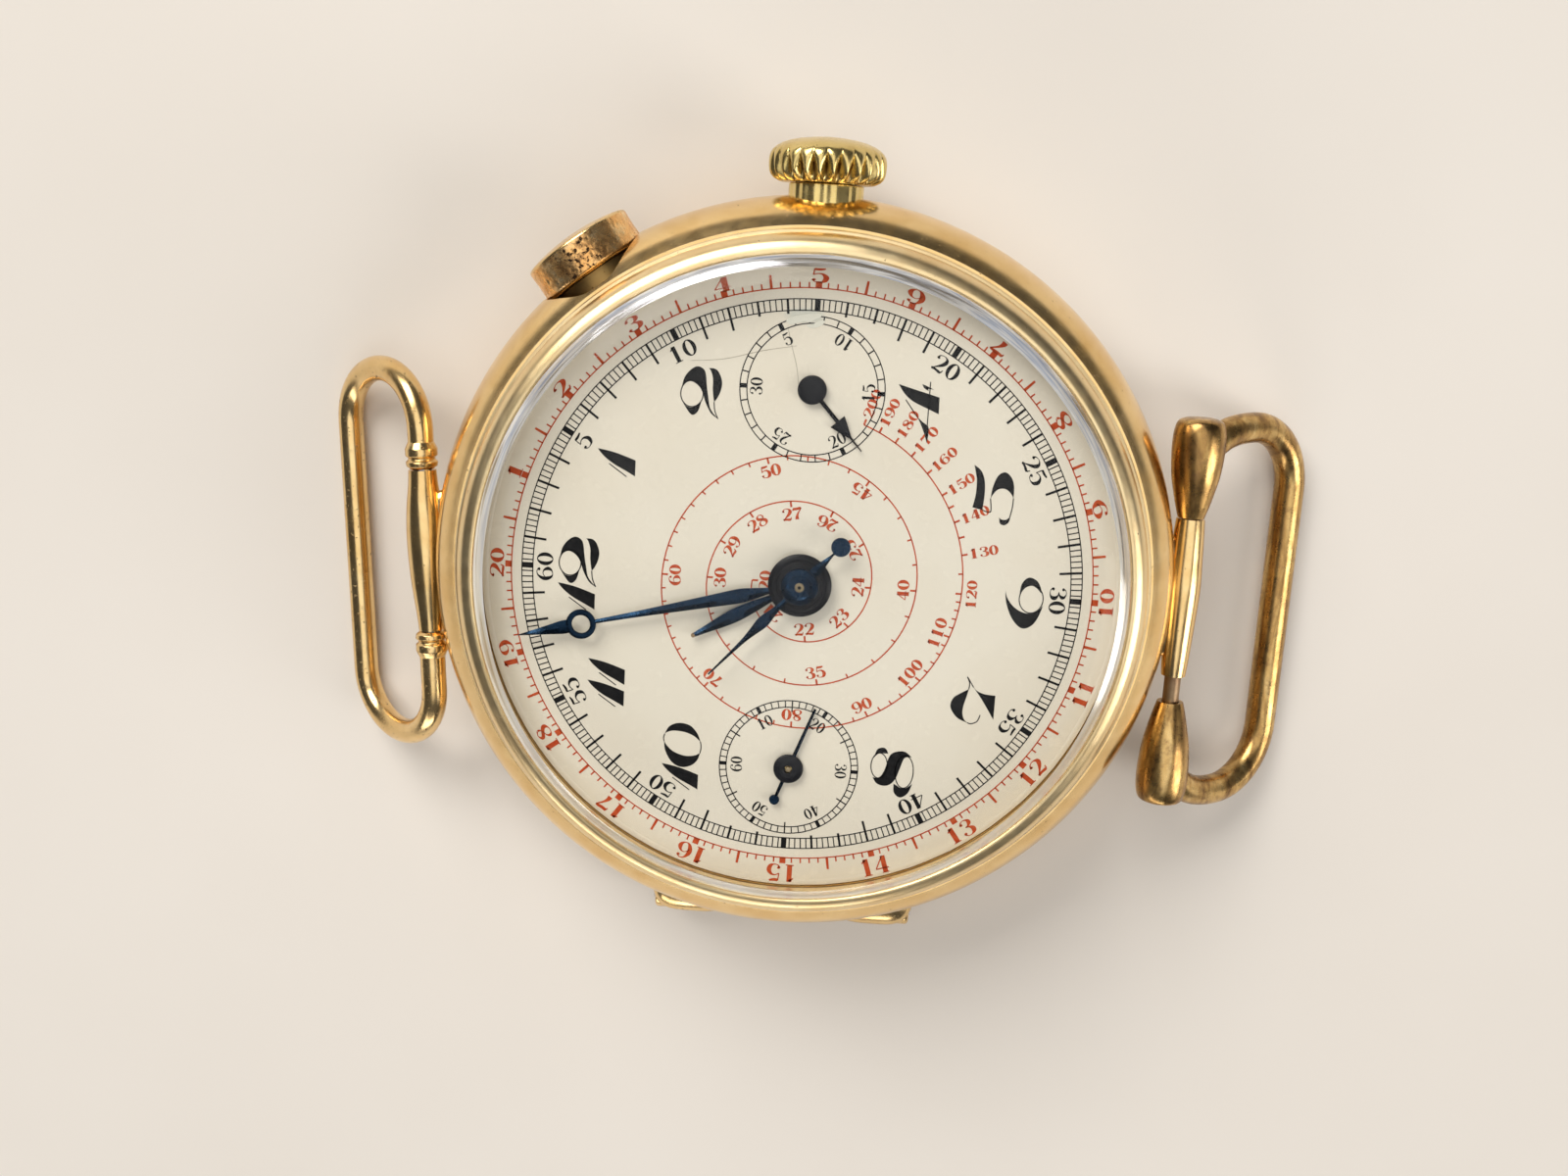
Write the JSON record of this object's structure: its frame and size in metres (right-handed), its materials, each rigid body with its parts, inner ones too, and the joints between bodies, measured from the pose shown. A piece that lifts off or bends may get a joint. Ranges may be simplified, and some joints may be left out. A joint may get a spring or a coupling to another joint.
{
  "type": "wrist chronograph",
  "caption": "Gold wrist chronograph with enamel dial, crown, single pusher, hinged case back and two hinged strap loops, over a visible train of wheels.",
  "frame": {"origin": "centre of the flat of the case back, on the axis of the case", "axes": "+Z out of the dial, +Y towards the crown at 3 o'clock, +X towards 6 o'clock"},
  "size_m": [0.0529, 0.0426, 0.012],
  "materials": {
    "polished_gold": "polished",
    "worn_gold": "worn, brown patina",
    "enamel": "glossy vitreous enamel",
    "crystal": "polished",
    "blued_steel": "heat blued, polished",
    "black_steel": "blackened, satin",
    "steel": "polished",
    "gilt_nickel": "frosted and grained",
    "wheel_brass": "fine grained"
  },
  "bodies": {
    "case": {"case_band": "polished_gold", "bezel": "polished_gold", "crystal": "crystal", "dial": "enamel", "back_hinge_pin": "steel", "crown_tube": "polished_gold", "pusher_tube": "polished_gold", "strap_sleeve_12": "polished_gold", "strap_sleeve_6": "polished_gold", "main_plate": "gilt_nickel", "barrel_bridge": "gilt_nickel", "train_bridge": "gilt_nickel", "balance_cock": "gilt_nickel", "chronograph_bridge": "gilt_nickel", "barrel_bridge_screw_1": "blued_steel", "barrel_bridge_screw_2": "blued_steel", "train_bridge_screw_1": "blued_steel", "train_bridge_screw_2": "blued_steel", "train_bridge_screw_3": "blued_steel", "balance_cock_screw": "blued_steel", "ratchet_wheel": "steel", "crown_wheel": "steel", "hairspring": "blued_steel"},
    "case_back": {"back_cover": "polished_gold"},
    "loop_12": {"strap_loop_12": "polished_gold", "strap_pin_12": "steel"},
    "loop_6": {"strap_loop_6": "worn_gold", "strap_cone_6_upper": "worn_gold", "strap_cone_6_lower": "worn_gold", "strap_pin_6": "steel"},
    "clutch": {"clutch_pinion": "steel"},
    "crown_and_stem": {"crown": "polished_gold", "winding_stem": "steel"},
    "pusher": {"pusher_cap": "worn_gold", "pusher_stem": "steel"},
    "lever": {"operating_lever": "steel"},
    "fourth": {"fourth_wheel": "wheel_brass", "small_seconds_hand": "blued_steel"},
    "centre": {"centre_wheel": "wheel_brass", "cannon_pinion": "steel", "minute_hand": "black_steel"},
    "hour": {"hour_wheel": "wheel_brass", "hour_hand": "blued_steel"},
    "third": {"third_wheel": "wheel_brass"},
    "escape": {"escape_wheel": "steel"},
    "barrel": {"mainspring_barrel": "wheel_brass"},
    "balance": {"balance_wheel": "wheel_brass"},
    "pallet": {"pallet_fork": "steel"},
    "columns": {"column_wheel": "steel"},
    "runner": {"chronograph_runner": "wheel_brass", "sweep_hand": "blued_steel"},
    "recorder": {"minute_recorder_wheel": "wheel_brass", "recorder_hand": "black_steel"},
    "idler": {"recorder_idler": "wheel_brass"},
    "clutch_lever": {"coupling_lever": "steel"},
    "coupling": {"coupling_wheel": "wheel_brass"},
    "hammer": {"reset_hammer": "steel"}
  },
  "joints": [
    {"name": "back_cover_hinge", "type": "hinge", "parent": "case", "child": "case_back", "pos_m": [0, -0.01975, 0.0022], "axis": [-1, 0, 0], "range_deg": [0, 105]},
    {"name": "strap_loop_12_swing", "type": "hinge", "parent": "case", "child": "loop_12", "pos_m": [-0.0199, -0.0002, 0.0055], "axis": [-0.0698, 0.9976, 0], "range_deg": [-35, 150]},
    {"name": "strap_loop_6_swing", "type": "hinge", "parent": "case", "child": "loop_6", "pos_m": [0.01988, 0, 0.0055], "axis": [0, -1, 0], "range_deg": [-45, 150]},
    {"name": "crown_turn", "type": "hinge", "parent": "case", "child": "clutch", "pos_m": [0, 0.013, 0.0055], "axis": [0, 1, 0], "continuous": true},
    {"name": "crown_pull", "type": "slide", "parent": "clutch", "child": "crown_and_stem", "axis": [0, 1, 0], "range_m": [0, 0.0008]},
    {"name": "pusher_press", "type": "slide", "parent": "case", "child": "pusher", "axis": [0.6088, -0.7934, 0], "range_m": [0, 0.0007], "stiffness_N_per_m": 1500, "springref_m": -0.0004},
    {"name": "operating_lever_swing", "type": "hinge", "parent": "case", "child": "lever", "pos_m": [-0.0054, 0.0136, 0.005], "axis": [0, 0, 1], "range_deg": [0, 10.1]},
    {"name": "small_seconds_turn", "type": "hinge", "parent": "case", "child": "fourth", "pos_m": [0, -0.0098, 0.005], "axis": [0, 0, -1], "continuous": true},
    {"name": "minute_hand_turn", "type": "hinge", "parent": "case", "child": "centre", "pos_m": [0, 0, 0.005], "axis": [0, 0, -1], "continuous": true},
    {"name": "hour_hand_turn", "type": "hinge", "parent": "case", "child": "hour", "pos_m": [0, 0, 0.005], "axis": [0, 0, -1], "continuous": true},
    {"name": "third_wheel_turn", "type": "hinge", "parent": "case", "child": "third", "pos_m": [0.00174, -0.00501, 0.005], "axis": [0, 0, -1], "continuous": true},
    {"name": "escape_wheel_turn", "type": "hinge", "parent": "case", "child": "escape", "pos_m": [-0.0039, -0.008, 0.005], "axis": [0, 0, -1], "continuous": true},
    {"name": "barrel_turn", "type": "hinge", "parent": "case", "child": "barrel", "pos_m": [-0.0041, 0.0041, 0.005], "axis": [0, 0, -1], "continuous": true},
    {"name": "balance_swing", "type": "hinge", "parent": "case", "child": "balance", "pos_m": [-0.0093, -0.0049, 0.005], "axis": [0, 0, 1], "range_deg": [-135, 135], "stiffness_Nm_per_rad": 0.00000012, "deforming": ["hairspring"]},
    {"name": "pallet_swing", "type": "hinge", "parent": "case", "child": "pallet", "pos_m": [-0.00617, -0.0067, 0.0058], "axis": [0, 0, 1], "range_deg": [-4, 4]},
    {"name": "column_wheel_turn", "type": "hinge", "parent": "case", "child": "columns", "pos_m": [-0.0106, 0.0056, 0.005], "axis": [0, 0, 1], "continuous": true},
    {"name": "sweep_turn", "type": "hinge", "parent": "case", "child": "runner", "pos_m": [0, 0, 0.005], "axis": [0, 0, -1], "continuous": true},
    {"name": "recorder_turn", "type": "hinge", "parent": "case", "child": "recorder", "pos_m": [0, 0.0098, 0.005], "axis": [0, 0, -1], "continuous": true},
    {"name": "recorder_idler_turn", "type": "hinge", "parent": "case", "child": "idler", "pos_m": [0, 0.00516, 0.005], "axis": [0, 0, -1], "continuous": true},
    {"name": "coupling_lever_swing", "type": "hinge", "parent": "case", "child": "clutch_lever", "pos_m": [0, -0.0098, 0.0023], "axis": [0, 0, 1], "range_deg": [0, 10]},
    {"name": "coupling_wheel_turn", "type": "hinge", "parent": "clutch_lever", "child": "coupling", "pos_m": [0.00098, -0.0052, 0.005], "axis": [0, 0, -1], "continuous": true},
    {"name": "reset_hammer_swing", "type": "hinge", "parent": "case", "child": "hammer", "pos_m": [0.0036, -0.005, 0.0029], "axis": [0, 0, 1], "range_deg": [0, 6]}
  ],
  "couplings": [
    {"joint": "operating_lever_swing", "follows": "pusher_press", "rad_per_m": 250},
    {"joint": "minute_hand_turn", "follows": "small_seconds_turn", "ratio": 0.016667},
    {"joint": "hour_hand_turn", "follows": "small_seconds_turn", "ratio": 0.0013889},
    {"joint": "third_wheel_turn", "follows": "small_seconds_turn", "ratio": -0.13333},
    {"joint": "escape_wheel_turn", "follows": "small_seconds_turn", "ratio": -10},
    {"joint": "barrel_turn", "follows": "small_seconds_turn", "ratio": -0.0027778},
    {"joint": "coupling_wheel_turn", "follows": "small_seconds_turn", "ratio": -1.7143},
    {"joint": "recorder_turn", "follows": "sweep_turn", "ratio": 0.033333},
    {"joint": "recorder_idler_turn", "follows": "sweep_turn", "ratio": -0.035714}
  ]
}
